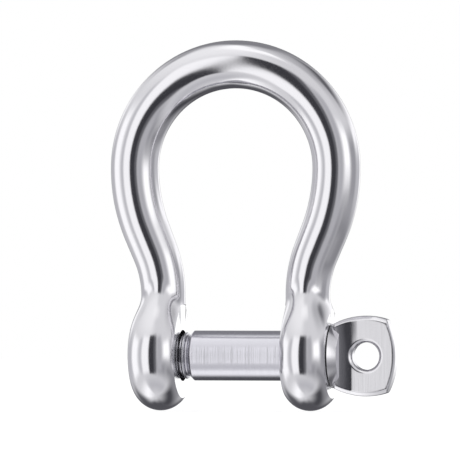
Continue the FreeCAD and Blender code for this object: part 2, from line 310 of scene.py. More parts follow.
class ShackleFinish(bpy.types.PropertyGroup):
    """Colours of bare stainless steel, each as its surface was made, but for the bores' dark grey, which is
    painted shade
    """
    forged: colour("Forged", "Steel of the polished bow", "#EDECEF")
    turned: colour("Turned", "Steel of the shank", "#E2E1E8")
    ground: colour("Ground", "Steel of the pin's head and tab", "#EBEAED")
    faced: colour("Faced", "Steel of the machined faces", "#F2F2F3")
    # dark grey painted into the bores and threads as the shade that falls deep in them
    bore_shade: colour("Bored", "Steel inside the bores and threads", "#6C6C70")
    spring: colour("Spring", "Steel of the snap ring", "#D9D9DE")


class ShackleStudio(bpy.types.PropertyGroup):
    """The stage round the shackle"""
    view_width: length("View width", "Width that the camera takes in at the shackle", 73.6)
    reach: FloatProperty(name="Camera distance", description="From the shackle to the camera", default=1.5,
                         min=0.2, unit="LENGTH")
    azimuth: FloatProperty(name="Camera azimuth", description="How far the camera stands to the tab's side",
                           default=math.radians(13.0), subtype="ANGLE")
    floor_gap: length("Floor gap", "Floor below the shackle's lowest point", 0.1)


# ---------------------------------------------------------------- the bow's shape, in millimetres

CROWN_R = 16.55  # middle of the rod, top half circle
CROWN_Z = 30.05  # centre of that circle above the pin
SIDE_R = 27.5
SPLAY = math.radians(22.3)
FLANK = 3.4
NECK_R = 18.0
SIDE_X = CROWN_R - SIDE_R * (1 - math.cos(SPLAY))
SIDE_Z = CROWN_Z - SIDE_R * math.sin(SPLAY)
FLANK_X = SIDE_X - FLANK * math.sin(SPLAY)
FLANK_Z = SIDE_Z - FLANK * math.cos(SPLAY)
LEG_X = FLANK_X - NECK_R * (1 - math.cos(SPLAY))
LEG_Z = FLANK_Z - NECK_R * math.sin(SPLAY)
LEG_FOOT = 2.0
TAPER_LOW, TAPER_HIGH = 8.0, 27.0  # heights between which the rod thickens

EYE_X = 12.27
EYE_RING = 4.54
BLEND_SIDE = 1.7
BLEND_FACE = 4.8


def half_line(step=0.5):
    """Points along the right half of the rod's middle line, from the crown down into the eye."""
    runs = []
    for a in np.arange(0, math.pi / 2, step / CROWN_R):
        runs.append((CROWN_R * math.sin(a), CROWN_Z + CROWN_R * math.cos(a)))
    for a in np.arange(0, SPLAY, step / SIDE_R):
        runs.append((CROWN_R - SIDE_R * (1 - math.cos(a)), CROWN_Z - SIDE_R * math.sin(a)))
    for t in np.arange(0, 1, step / FLANK):
        runs.append((SIDE_X + t * (FLANK_X - SIDE_X), SIDE_Z + t * (FLANK_Z - SIDE_Z)))
    for a in np.arange(SPLAY, 0, -step / NECK_R):
        runs.append((LEG_X + NECK_R * (1 - math.cos(a)), LEG_Z + NECK_R * math.sin(a)))
    for z in np.arange(LEG_Z, LEG_FOOT, -step):
        runs.append((LEG_X, z))
    return runs


def line_gap(p):
    """Distance from points (n, 3) to the middle line of the rod."""
    x, y, z = np.abs(p[:, 0]), p[:, 1], p[:, 2]
    turn = np.arctan2(z - CROWN_Z, x)
    top = np.hypot(x - CROWN_R, z - CROWN_Z)
    crown = np.where(turn >= 0, np.abs(np.hypot(x, z - CROWN_Z) - CROWN_R), top)
    centre = CROWN_R - SIDE_R
    turn = np.arctan2(z - CROWN_Z, x - centre)
    ends = np.minimum(top, np.hypot(x - SIDE_X, z - SIDE_Z))
    on_side = (turn <= 0) & (turn >= -SPLAY)
    side = np.where(on_side, np.abs(np.hypot(x - centre, z - CROWN_Z) - SIDE_R), ends)
    dx, dz = FLANK_X - SIDE_X, FLANK_Z - SIDE_Z
    along = np.clip(((x - SIDE_X) * dx + (z - SIDE_Z) * dz) / (dx * dx + dz * dz), 0, 1)
    flank = np.hypot(x - SIDE_X - along * dx, z - SIDE_Z - along * dz)
    centre = LEG_X + NECK_R
    turn = np.arctan2(z - LEG_Z, centre - x)
    ends = np.minimum(np.hypot(x - FLANK_X, z - FLANK_Z), np.hypot(x - LEG_X, z - LEG_Z))
    on_neck = (turn >= 0) & (turn <= SPLAY)
    neck = np.where(on_neck, np.abs(np.hypot(x - centre, z - LEG_Z) - NECK_R), ends)
    leg = np.hypot(x - LEG_X, z - np.clip(z, LEG_FOOT, LEG_Z))
    flat = np.min(np.array([crown, side, flank, neck, leg]), axis=0)
    return np.hypot(flat, y)


def rod_radius(height, sizes):
    """The rod's radius at a height above the pin: full round the crown, a little less at the necks."""
    share = np.clip((height - TAPER_LOW) / (TAPER_HIGH - TAPER_LOW), 0.0, 1.0)
    share = share * share * (3 - 2 * share)
    return (sizes.neck_rod + (sizes.crown_rod - sizes.neck_rod) * share) / MM


def bow_surface(sizes):
    """A function that gives the signed distance from points to the forged bow."""
    bead = sizes.bead / MM

    def gap(p):
        rod = line_gap(p) - rod_radius(p[:, 2], sizes)
        out = np.hypot(p[:, 1], p[:, 2])
        eye = np.hypot(np.maximum(out - EYE_RING, 0), np.abs(p[:, 0]) - EYE_X) - bead
        # the rod spreads into its eyes widely front and back, tightly at the sides
        aside = (np.abs(p[:, 0]) - LEG_X) ** 2
        facing = p[:, 1] ** 2 / (p[:, 1] ** 2 + aside + 0.5)
        blend = BLEND_SIDE + (BLEND_FACE - BLEND_SIDE) * facing * facing
        h = np.clip(0.5 + 0.5 * (eye - rod) / blend, 0, 1)
        return eye * (1 - h) + rod * h - blend * h * (1 - h)

    return gap


# ---------------------------------------------------------------- the tab's shape, in millimetres

TAB_ROOT = 16.4
TAB_ROOT_HALF = 5.2
TAB_CORNER = 24.95
TAB_CORNER_HALF = 5.85
TAB_EDGE_R = 10.9
TAB_END_R = 12.9
END_BEVEL = 0.25  # the tab's end is only broken, its long edges are bevelled
WAIST = 0.025  # growth of the half thickness from the end of the ramp outwards
RAMP_END = 19.2
RAMP_R = 16.0
HOLE_X = 21.5
HOLE_BEVEL = 0.45
EDGE_SOFT = 0.04  # rounding left on the tab's edges by tumbling


def arc_centre(start, end, radius):
    """Centre of an arc between two points, on the right of the way from start to end."""
    start, end = np.array(start), np.array(end)
    way = end - start
    half = np.linalg.norm(way) / 2
    aside = np.array([way[1], -way[0]]) / (2 * half)
    return (start + end) / 2 + aside * math.sqrt(radius * radius - half * half)


def tab_edges(x, z):
    """Signed distances in the tab's plane to its long edges, its end and its root."""
    edge_x, edge_z = arc_centre((TAB_ROOT, TAB_ROOT_HALF), (TAB_CORNER, TAB_CORNER_HALF), TAB_EDGE_R)
    end_x, _ = arc_centre((TAB_CORNER, TAB_CORNER_HALF), (TAB_CORNER, -TAB_CORNER_HALF), TAB_END_R)
    edge = np.hypot(x - edge_x, np.abs(z) - edge_z) - TAB_EDGE_R
    end = np.hypot(x - end_x, z) - TAB_END_R
    return edge, end, TAB_ROOT - x


def tab_half(x, z, flat, root):
    """Half thickness of the tab: flat round its hole, rising to the head on a long hollow ramp."""
    centre_x, centre_y = arc_centre((RAMP_END, flat), (TAB_ROOT, root), RAMP_R)
    reach = np.clip(x, TAB_ROOT - 1.0, RAMP_END + 1.0) - centre_x
    ramp = centre_y - np.sqrt(np.maximum(RAMP_R * RAMP_R - reach * reach, 0.01))
    # the grinding fades out towards the top edge and stops sharply at the bottom one
    share = np.clip((z + 1.0) / 5.0, 0, 1)
    soft = 0.02 + 0.16 * share * share
    lift = ramp - flat
    waist = WAIST * np.maximum(x - RAMP_END, 0)
    return flat + waist + 0.5 * (lift + np.sqrt(lift * lift + soft * soft))


def tab_surface(sizes):
    """A function that gives the signed distance from points to the tab."""
    flat, root = sizes.tab / MM, sizes.tab_root / MM
    hole, bevel = sizes.hole / MM, sizes.bevel / MM
    slant = math.sqrt(0.5)

    def gap(p):
        face = np.abs(p[:, 1]) - tab_half(p[:, 0], p[:, 2], flat, root)
        edge, end, root_end = tab_edges(p[:, 0], p[:, 2])
        mouth = hole - np.hypot(p[:, 0] - HOLE_X, p[:, 2])
        sides = np.array([
            face, edge, end, root_end, mouth, (face + edge + bevel) * slant,
            (face + end + END_BEVEL) * slant, (face + mouth + HOLE_BEVEL) * slant,
        ])
        most = sides.max(axis=0)
        return most + EDGE_SOFT * np.log(np.exp((sides - most) / EDGE_SOFT).sum(axis=0))

    return gap


def tab_mesh(sizes):
    """The tab as a closed mesh of rings round its hole, drawn onto its exact surface."""
    rays = sizes.rays
    hole, bevel, flat = sizes.hole / MM, sizes.bevel / MM, sizes.tab / MM
    turn = TURN * np.arange(rays) / rays
    near, far = np.full(rays, hole), np.full(rays, 14.0)
    for _ in range(40):
        middle = (near + far) / 2
        edges = tab_edges(HOLE_X + middle * np.cos(turn), middle * np.sin(turn))
        inside = np.max(np.array(edges), axis=0) < 0
        near, far = np.where(inside, middle, near), np.where(inside, far, middle)
    steps = [0.0, 0.1, 0.25, 0.5, 0.75, 0.9, 1.1]
    rings = [(hole + bevel * s, 1 - min(s, 1)) for s in steps]
    start, stop = hole + bevel * steps[-1], near - bevel * steps[-1]
    rings += [(start + (stop - start) * i / 26, 0.0) for i in range(1, 26)]
    rings += [(near - bevel * s, 1 - min(s, 1)) for s in reversed(steps)]
    wall = (0.85, 0.0, -0.85)
    front = [(reach, -1.0, drop) for reach, drop in rings]
    back = [(reach, 1.0, drop) for reach, drop in reversed(rings)]
    loop = front + [(near, -w, 1.0) for w in wall] + back + [(hole, w, 1.0) for w in wall]
    verts = []
    for reach, side, drop in loop:
        x, z = HOLE_X + reach * np.cos(turn), reach * np.sin(turn)
        y = side * (tab_half(x, z, flat, sizes.tab_root / MM) - drop * bevel)
        verts.append(np.stack([x, y, z], axis=1))
    faces = []
    for k in range(len(verts)):
        low, high = k * rays, (k + 1) % len(verts) * rays
        for i in range(rays):
            j = (i + 1) % rays
            faces.append((low + i, low + j, high + j, high + i))
    tab = new_object("tab", np.concatenate(verts), faces)
    outward(tab)
    return tab


# ---------------------------------------------------------------- geometry nodes

EVEN_R = 3.594  # radius at which a thread's ridge and groove are equally wide


def new_tree(name, inputs):
    """A geometry node tree with a geometry input, further named inputs, and a geometry output."""
    tree = bpy.data.node_groups.new(name, "GeometryNodeTree")
    tree.interface.new_socket("Geometry", in_out="INPUT", socket_type="NodeSocketGeometry")
    for label, kind in inputs:
        tree.interface.new_socket(label, in_out="INPUT", socket_type=kind)
    tree.interface.new_socket("Geometry", in_out="OUTPUT", socket_type="NodeSocketGeometry")
    start = add_node(tree, "NodeGroupInput")
    end = add_node(tree, "NodeGroupOutput")
    return tree, start.outputs, end


def finish_tree(tree, end, geometry, material):
    """Close a tree with Realize Instances and Set Material; blanks and cutters get theirs later."""
    real = add_node(tree, "GeometryNodeRealizeInstances", links={"Geometry": geometry})
    coat = add_node(tree, "GeometryNodeSetMaterial", links={"Geometry": real.outputs[0]})
    coat.inputs["Material"].default_value = material
    tree.links.new(coat.outputs[0], end.inputs[0])


def apply_tree(obj, tree, values):
    """Run a tree on an object with inputs set by socket identifier; gives back a plain mesh object."""
    step = obj.modifiers.new("build", "NODES")
    step.node_group = tree
    for item in tree.interface.items_tree:
        if item.in_out == "INPUT" and item.name in values:
            step[item.identifier] = values[item.name]
    name = obj.name
    obj.name = name + "_seed"
    return baked(obj, name)


def rod_tree(material):
    """A round rod swept along a path of edges, with its radius read from the points."""
    tree, given, end = new_tree("Rod sweep", [
        ("Radius", "NodeSocketFloat"),
        ("Sides", "NodeSocketInt"),
    ])
    path = add_node(tree, "GeometryNodeMeshToCurve", links={"Mesh": given["Geometry"]})
    share = add_node(tree, "GeometryNodeInputNamedAttribute", {"data_type": "FLOAT"},
                     values={"Name": "share"})
    sized = add_node(tree, "GeometryNodeSetCurveRadius",
                     links={"Curve": path.outputs[0], "Radius": share.outputs[0]})
    ring = add_node(tree, "GeometryNodeCurvePrimitiveCircle", {"mode": "RADIUS"},
                    links={"Radius": given["Radius"], "Resolution": given["Sides"]})
    swept = add_node(tree, "GeometryNodeCurveToMesh",
                     links={"Curve": sized.outputs[0], "Profile Curve": ring.outputs[0],
                            "Scale": share.outputs[0]},
                     values={"Fill Caps": True})
    finish_tree(tree, end, swept.outputs[0], material)
    return tree


def thread_tree(material):
    """A right-hand helical ridge about the X axis, of trapezoid section."""
    tree, given, end = new_tree("Thread ridge", [
        ("Start", "NodeSocketFloat"),
        ("Pitch", "NodeSocketFloat"),
        ("Turns", "NodeSocketFloat"),
        ("Root radius", "NodeSocketFloat"),
        ("Crest radius", "NodeSocketFloat"),
        ("Root width", "NodeSocketFloat"),
        ("Crest width", "NodeSocketFloat"),
    ])
    rise = add_node(tree, "ShaderNodeMath", {"operation": "MULTIPLY"}, {0: given["Pitch"], 1: given["Turns"]})
    spiral = add_node(tree, "GeometryNodeCurveSpiral",
                      links={"Rotations": given["Turns"], "Height": rise.outputs[0],
                             "Start Radius": given["Root radius"], "End Radius": given["Root radius"]},
                      values={"Resolution": 72, "Reverse": True})
    upright = add_node(tree, "GeometryNodeSetCurveNormal", {"mode": "Z_UP"}, {"Curve": spiral.outputs[0]})
    depth = add_node(tree, "ShaderNodeMath", {"operation": "SUBTRACT"},
                     {0: given["Crest radius"], 1: given["Root radius"]})
    corners = []
    for width, far, sign in (("Root width", False, -0.5), ("Crest width", True, -0.5),
                             ("Crest width", True, 0.5), ("Root width", False, 0.5)):
        half = add_node(tree, "ShaderNodeMath", {"operation": "MULTIPLY"}, {0: given[width]}, {1: sign})
        links = {"Y": half.outputs[0]}
        if far:
            links["X"] = depth.outputs[0]
        corners.append(add_node(tree, "ShaderNodeCombineXYZ", links=links))
    section = add_node(tree, "GeometryNodeCurvePrimitiveQuadrilateral", {"mode": "POINTS"},
                       {f"Point {i + 1}": corner.outputs[0] for i, corner in enumerate(corners)})
    swept = add_node(tree, "GeometryNodeCurveToMesh",
                     links={"Curve": upright.outputs[0], "Profile Curve": section.outputs[0]},
                     values={"Fill Caps": True})
    shift = add_node(tree, "ShaderNodeCombineXYZ", links={"X": given["Start"]})
    laid = add_node(tree, "GeometryNodeTransform",
                    links={"Geometry": swept.outputs[0], "Translation": shift.outputs[0]},
                    values={"Rotation": (0.0, math.pi / 2, 0.0)})
    finish_tree(tree, end, laid.outputs[0], material)
    return tree


def thread_ridge(name, turns, root, crest, play):
    """A helical ridge object; play is taken from each flank, or added if negative."""
    def width(radius):
        return 2 * (PITCH / 4 - (radius - EVEN_R) * math.tan(math.radians(30)) - play) * MM

    seed = new_object(name, [(0, 0, 0)], [])
    return apply_tree(seed, thread_tree(None), {
        "Start": THREAD_FROM * MM, "Pitch": PITCH * MM, "Turns": turns,
        "Root radius": root * MM, "Crest radius": crest * MM,
        "Root width": width(root), "Crest width": width(crest),
    })


# ---------------------------------------------------------------- materials

def new_material(name, base):
    """A bare metal material of one colour, with its tree, surface shader and object coordinates."""
    material = bpy.data.materials.new(name)
    material.use_nodes = True
    tree = material.node_tree
    tree.nodes.clear()
    shader = add_node(tree, "ShaderNodeBsdfPrincipled", values={"Metallic": 1.0, "Base Color": tuple(base)})
    add_node(tree, "ShaderNodeOutputMaterial", links={"Surface": shader.outputs[0]})
    place = add_node(tree, "ShaderNodeTexCoord")
    return material, tree, shader, place.outputs["Object"]


def spaced(size):
    """Noise scale, in cells a metre, for grains of a size in millimetres."""
    return 1.0 / (size * MM)


def ringed(size):
    """Wave texture scale for rings of a width in millimetres."""
    return TURN / (20.0 * size * MM)


def finish_steel(tree, shader, marks, low, high, normal):
    """Roughness that follows the marks, and the surface's normal."""
    rough = add_node(tree, "ShaderNodeMapRange", links={"Value": marks},
                     values={"To Min": low, "To Max": high})
    tree.links.new(rough.outputs[0], shader.inputs["Roughness"])
    tree.links.new(normal, shader.inputs["Normal"])


def polished_forging(finish):
    """316 stainless, drop forged, then barrel polished: a near mirror whose surface still waves a little."""
    material, tree, shader, place = new_material("Polished forged stainless", finish.forged)
    # hammer waviness about 7 mm long
    wave = add_node(tree, "ShaderNodeTexNoise", links={"Vector": place},
                    values={"Scale": spaced(7.0), "Detail": 1.0, "Roughness": 0.4})
    wavy = add_node(tree, "ShaderNodeBump", links={"Height": wave.outputs["Fac"]},
                    values={"Strength": 0.25, "Distance": 0.2 * MM})
    # polishing marks about 0.3 mm apart
    fine = add_node(tree, "ShaderNodeTexNoise", links={"Vector": place},
                    values={"Scale": spaced(0.3), "Detail": 3.0, "Roughness": 0.6})
    both = add_node(tree, "ShaderNodeBump", links={"Height": fine.outputs["Fac"], "Normal": wavy.outputs[0]},
                    values={"Strength": 0.08, "Distance": 0.02 * MM})
    finish_steel(tree, shader, fine.outputs["Fac"], 0.07, 0.15, both.outputs[0])
    return material


def turned_steel(finish):
    """Stainless bar turned on a lathe and lightly polished: fine rings smear its reflections along it."""
    material, tree, shader, place = new_material("Turned stainless", finish.turned)
    # tool rings 0.11 mm apart along the pin, long round it
    squeeze = add_node(tree, "ShaderNodeMapping", links={"Vector": place},
                       values={"Scale": (spaced(0.11), spaced(16), spaced(16))})
    rings = add_node(tree, "ShaderNodeTexNoise", links={"Vector": squeeze.outputs[0]},
                     values={"Scale": 1.0, "Detail": 2.0, "Roughness": 0.5})
    bump = add_node(tree, "ShaderNodeBump", links={"Height": rings.outputs["Fac"]},
                    values={"Strength": 0.6, "Distance": 0.03 * MM})
    finish_steel(tree, shader, rings.outputs["Fac"], 0.14, 0.24, bump.outputs[0])
    return material


def ground_steel(finish):
    """Stainless pressed flat and ground on a belt: bright, with faint upright lines in its reflections."""
    material, tree, shader, place = new_material("Ground stainless", finish.ground)
    # belt lines 0.2 mm apart, drawn upright
    squeeze = add_node(tree, "ShaderNodeMapping", links={"Vector": place},
                       values={"Scale": (spaced(0.2), spaced(0.2), spaced(5))})
    lines = add_node(tree, "ShaderNodeTexNoise", links={"Vector": squeeze.outputs[0]},
                     values={"Scale": 1.0, "Detail": 2.0, "Roughness": 0.5})
    bump = add_node(tree, "ShaderNodeBump", links={"Height": lines.outputs["Fac"]},
                    values={"Strength": 0.12, "Distance": 0.02 * MM})
    finish_steel(tree, shader, lines.outputs["Fac"], 0.1, 0.2, bump.outputs[0])
    return material


def faced_steel(finish):
    """Stainless faced with a spot cutter: flat and bright, with the cutter's rings round the hole."""
    material, tree, shader, place = new_material("Faced stainless", finish.faced)
    # cutter rings, really 0.1 mm apart, drawn 0.35 mm apart so that they show
    rings = add_node(tree, "ShaderNodeTexWave",
                     {"wave_type": "RINGS", "rings_direction": "X", "wave_profile": "SIN"},
                     {"Vector": place}, {"Scale": ringed(0.35), "Distortion": 0.6, "Detail": 1.0})
    bump = add_node(tree, "ShaderNodeBump", links={"Height": rings.outputs["Fac"]},
                    values={"Strength": 0.1, "Distance": 0.02 * MM})
    finish_steel(tree, shader, rings.outputs["Fac"], 0.12, 0.2, bump.outputs[0])
    return material


def bore_shade_steel(finish):
    """Stainless as the drill and the tap left it: dull and torn, its colour darkened to a painted shade
    inside the bores and threads.
    """
    material, tree, shader, place = new_material("Bored stainless with painted shade", finish.bore_shade)
    # chatter marks 0.25 mm apart
    torn = add_node(tree, "ShaderNodeTexNoise", links={"Vector": place},
                    values={"Scale": spaced(0.25), "Detail": 3.0, "Roughness": 0.6})
    bump = add_node(tree, "ShaderNodeBump", links={"Height": torn.outputs["Fac"]},
                    values={"Strength": 0.3, "Distance": 0.04 * MM})
    finish_steel(tree, shader, torn.outputs["Fac"], 0.4, 0.6, bump.outputs[0])
    return material


def spring_steel(finish):
    """Drawn stainless spring wire: smooth and bright, with faint die lines along it."""
    material, tree, shader, place = new_material("Drawn spring stainless", finish.spring)
    # die lines 0.08 mm apart across the wire, long round the ring
    lines = add_node(tree, "ShaderNodeTexWave",
                     {"wave_type": "BANDS", "bands_direction": "X", "wave_profile": "SIN"},
                     {"Vector": place}, {"Scale": ringed(0.08), "Distortion": 1.5, "Detail": 1.0})
    bump = add_node(tree, "ShaderNodeBump", links={"Height": lines.outputs["Fac"]},
                    values={"Strength": 0.1, "Distance": 0.01 * MM})
    finish_steel(tree, shader, lines.outputs["Fac"], 0.15, 0.26, bump.outputs[0])
    return material


# ---------------------------------------------------------------- the pieces

SPOT_R = 7.5  # cutter that faces the outer side of the plain eye
INNER_SPOT_R = 8.2  # cutter that faces the jaw, a little way up the necks
RELIEF = 0.9
TAP_R = 3.35
TAP_ROOT_R = 4.05
TAP_TURNS = 7.5
TAP_SPREAD = -0.07  # the tapped groove is this much wider at each flank
MOUTH_R = 4.25

TIP = -16.2
TIP_BEVEL = 0.65
NECK = -9.1
LAND_R = 3.34
GROOVE = (-8.3, -7.65)
GROOVE_R = 3.12
SHANK_BEVEL = (-7.32, -6.6)
COLLAR = (16.0, 17.3)
PLAY = 0.07  # axial play of each thread flank
RING_X = -7.975
RING_TURN = math.radians(342)


class SHACKLE_OT_bow(bpy.types.Operator):
    """Forge the bow: sweep the rod, flow it into its eyes, then face, bore and tap the eyes"""
    bl_idname = "shackle.bow"
    bl_label = "Make the bow"

    def execute(self, context):
        sizes = context.scene.shackle_bow
        finish = context.scene.shackle_finish
        surface = bow_surface(sizes)
        bow = self.blank(sizes)
        settle(bow.data, surface, 4)
        bow = self.machine(bow, sizes)
        bow.name = "forged_bow"
        kinds = self.kinds(bow.data, surface, sizes)
        # the third material paints shade into the bores and threads
        paint_faces(bow.data, (polished_forging(finish), faced_steel(finish), bore_shade_steel(finish)), kinds)
        true_normals(bow.data, surface)
        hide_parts("bow")
        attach(bow, "bow")
        return {"FINISHED"}

    def blank(self, sizes):
        """The rough forging: a swept rod and two beads, merged on one even mesh."""
        right = half_line()
        path = [(-x, 0.0, z) for x, z in reversed(right[1:])] + [(x, 0.0, z) for x, z in right]
        share = rod_radius(np.array(path)[:, 2], sizes) / (sizes.crown_rod / MM)
        line = path_object("rod_line", path, share)
        parts = [apply_tree(line, rod_tree(None), {"Radius": sizes.crown_rod, "Sides": 48})]
        bead_r = sizes.bead / MM
        bead = [(EYE_X - bead_r, 0.0)]
        for i in range(25):
            a = math.pi * i / 24
            bead.append((EYE_X - bead_r * math.cos(a), EYE_RING + bead_r * math.sin(a)))
        bead.append((EYE_X + bead_r, 0.0))
        parts.append(lathe("eye_right", bead, 96))
        parts.append(lathe("eye_left", [(-x, r) for x, r in bead], 96))
        verts, faces = [], []
        for part in parts:
            outward(part)
            base = len(verts)
            verts.extend(positions(part.data))
            faces.extend([base + v for v in face.vertices] for face in part.data.polygons)
            bpy.data.objects.remove(part)
        bow = new_object("bow_blank", verts, faces)
        merge = bow.modifiers.new("grid", "REMESH")
        merge.mode = "VOXEL"
        merge.voxel_size = sizes.grid
        return baked(bow, "bow_forging")

    def machine(self, bow, sizes):
        """Face and bore both eyes, sink the right one's mouth and tap the left one."""
        bore, sink, bead = sizes.bore / MM, sizes.sink / MM, sizes.bead / MM
        inner, outer, end = EYE_X - sizes.face / MM, EYE_X + sizes.face / MM, EYE_X + bead
        bow = combine(bow, lathe("right_cutter", [
            (inner - 4, 0), (inner - 4, INNER_SPOT_R), (inner, INNER_SPOT_R), (inner, bore + 0.3),
            (inner + 0.3, bore), (outer - (sink - bore), bore), (outer, sink), (outer, SPOT_R),
            (outer + 4, SPOT_R), (outer + 4, 0),
        ]), "DIFFERENCE")
        bow = combine(bow, lathe("left_cutter", [
            (4 - inner, 0), (4 - inner, INNER_SPOT_R), (-inner, INNER_SPOT_R), (-inner, bore),
            (-inner - RELIEF, bore), (-inner - RELIEF - bore + TAP_R, TAP_R),
            (MOUTH_R - TAP_R - end, TAP_R), (-end, MOUTH_R), (-end - 1, MOUTH_R), (-end - 1, 0),
        ]), "DIFFERENCE")
        groove = thread_ridge("tap_groove", TAP_TURNS, TAP_R - 0.1, TAP_ROOT_R, TAP_SPREAD)
        outward(groove)
        return combine(bow, groove, "DIFFERENCE")

    def kinds(self, mesh, surface, sizes):
        """For each face: 0 on the forged skin, 1 on a machined face or countersink, 2 in a bore or thread,
        where the steel carries painted shade.
        """
        middle = face_centres(mesh)
        near = np.full(len(middle), np.inf)
        for station in (EYE_X - sizes.face / MM, EYE_X + sizes.face / MM):
            near = np.minimum(near, np.abs(np.abs(middle[:, 0]) - station))
        out = np.hypot(middle[:, 1], middle[:, 2])
        inside = (np.abs(surface(middle)) > 0.03) & (out < sizes.sink / MM) & (near > 0.003)
        sunk = inside & (middle[:, 0] > 0) & (out > sizes.bore / MM + 0.01)
        return np.where((near < 0.003) | sunk, 1, np.where(inside, 2, 0))


class SHACKLE_OT_pin(bpy.types.Operator):
    """Turn the screw pin, cut its thread and join its tab"""
    bl_idname = "shackle.pin"
    bl_label = "Make the screw pin"

    def execute(self, context):
        sizes = context.scene.shackle_pin
        finish = context.scene.shackle_finish
        shank, crest, root = sizes.shank / MM, sizes.crest / MM, sizes.root / MM
        bar = eased([
            (TIP, 0), (TIP, root), (NECK, root), (NECK, LAND_R), (GROOVE[0], LAND_R), (GROOVE[0], GROOVE_R),
            (GROOVE[1], GROOVE_R), (GROOVE[1], LAND_R), (SHANK_BEVEL[0], LAND_R), (SHANK_BEVEL[1], shank),
            (COLLAR[0], shank), (COLLAR[0], sizes.collar / MM),
            (COLLAR[1], sizes.collar_end / MM), (COLLAR[1], 0),
        ], 0.07)
        pin = lathe("pin_bar", bar)
        ridge = thread_ridge("pin_ridge", sizes.turns, root - 0.1, crest, PLAY)
        outward(ridge)
        pin = combine(pin, ridge, "UNION")
        tip = [(TIP, 0), (TIP, crest - TIP_BEVEL), (TIP + 2 * TIP_BEVEL, crest + TIP_BEVEL),
               (TIP - 3, crest + TIP_BEVEL), (TIP - 3, 0)]
        pin = combine(pin, lathe("tip_cutter", tip), "DIFFERENCE")
        tab = tab_mesh(sizes)
        surface = tab_surface(sizes)
        settle(tab.data, surface, 0)
        pin = combine(pin, tab, "UNION")
        pin.name = "turned_pin"
        along = face_centres(pin.data)[:, 0]
        paint_faces(pin.data, (turned_steel(finish), ground_steel(finish)), along > COLLAR[0] - 0.01)
        true_normals(pin.data, surface)
        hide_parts("screw_pin")
        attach(pin, "pin")
        return {"FINISHED"}


class SHACKLE_OT_ring(bpy.types.Operator):
    """Bend the snap ring in the pin's groove"""
    bl_idname = "shackle.ring"
    bl_label = "Make the snap ring"

    def execute(self, context):
        sizes = context.scene.shackle_pin
        radius = sizes.ring / MM
        steel = spring_steel(context.scene.shackle_finish)
        # the gap of the split ring faces the back
        turns = [-math.pi + RING_TURN * (i / 160 - 0.5) for i in range(161)]
        path = [(RING_X, radius * math.cos(a), radius * math.sin(a)) for a in turns]
        ring = apply_tree(path_object("split_ring", path, [1.0] * len(path)), rod_tree(steel),
                          {"Radius": sizes.wire, "Sides": 16})
        outward(ring)
        ring.data.set_sharp_from_angle(angle=math.radians(40))
        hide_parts("retaining_ring")
        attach(ring, "ring_carriage")
        return {"FINISHED"}


# ---------------------------------------------------------------- the stage

STEEL_GAIN = 0.80  # share of light that polished stainless gives back

# Soft cards round the object: azimuth and elevation of the middle, half width, half height and
# softness in degrees (azimuth 0 is where the camera stands, positive to its right), and the grey
# that bare steel shows when it mirrors the card. Later cards lie over earlier ones.
CARDS = (
    ("upper_left", -75, 62, 60, 22, 24, "#E3E3E4"),
    ("upper_right", 120, 58, 45, 18, 20, "#A2A2A5"),
    ("upper_right_flag", 128, 42, 24, 10, 10, "#58585C"),
    ("upper_left_flag", -142, 44, 14, 7, 10, "#8C8C8F"),
    ("zenith", -60, 79, 100, 8, 7, "#F8F8F8"),
    ("floor_left", -95, -66, 38, 13, 14, "#F8F8F9"),
    ("floor_front", 10, -62, 60, 14, 18, "#B0B0B4"),
    ("floor_right", 130, -50, 45, 22, 20, "#424246"),
    ("floor_right_near", 95, -24, 45, 12, 16, "#7E7E82"),
    ("floor_back_left", -156, -38, 24, 18, 14, "#56565A"),
    ("back_above", 180, 40, 26, 32, 12, "#7C7C80"),
    ("back_below", 180, -38, 24, 32, 12, "#4C4C50"),
    ("back", 180, 0, 14, 16, 8, "#707074"),
    ("left_back", -138, -2, 20, 16, 10, "#AEAEB2"),
    ("left_box_far", -96, -2, 17, 26, 7, "#F4F4F5"),
    ("left_box_near", -42, 2, 15, 36, 6, "#EEEEEF"),
    ("left_gap", -65, 0, 5, 30, 6, "#B2B2B6"),
    ("back_strip_left", -154, 13, 12, 5, 7, "#F6F6F7"),
    ("right_far", 124, -3, 18, 9, 9, "#B2B2B6"),
    ("back_strip_right", 140, 14, 26, 5, 6, "#F6F6F7"),
    ("back_light_right", 155, 2, 9, 8, 5, "#FFFFFF"),
    ("front_low", 32, -24, 22, 14, 12, "#909094"),
    ("front_grey", 22, 4, 11, 34, 7, "#A6A6AA"),
    ("right_box", 54, 10, 14, 13, 8, "#FFFFFF"),
    ("right_gap", 91, 1, 17, 18, 9, "#929296"),
    ("front_flag_soft", 0, 2, 9, 40, 6, "#5A5A5E"),
    ("front_flag", -14, 2, 11, 40, 3, "#36363A"),
)
AMBIENT = "#CACACC"
VIEW_ASIDE = -0.88  # middle of the view, to the right of the origin, in millimetres
VIEW_HEIGHT = 20.1
SENSOR = 36.0


def steel_grey(code):
    """The light that a card sends out for polished steel to show this grey."""
    return (*[c / STEEL_GAIN for c in linear(code)[:3]], 1.0)


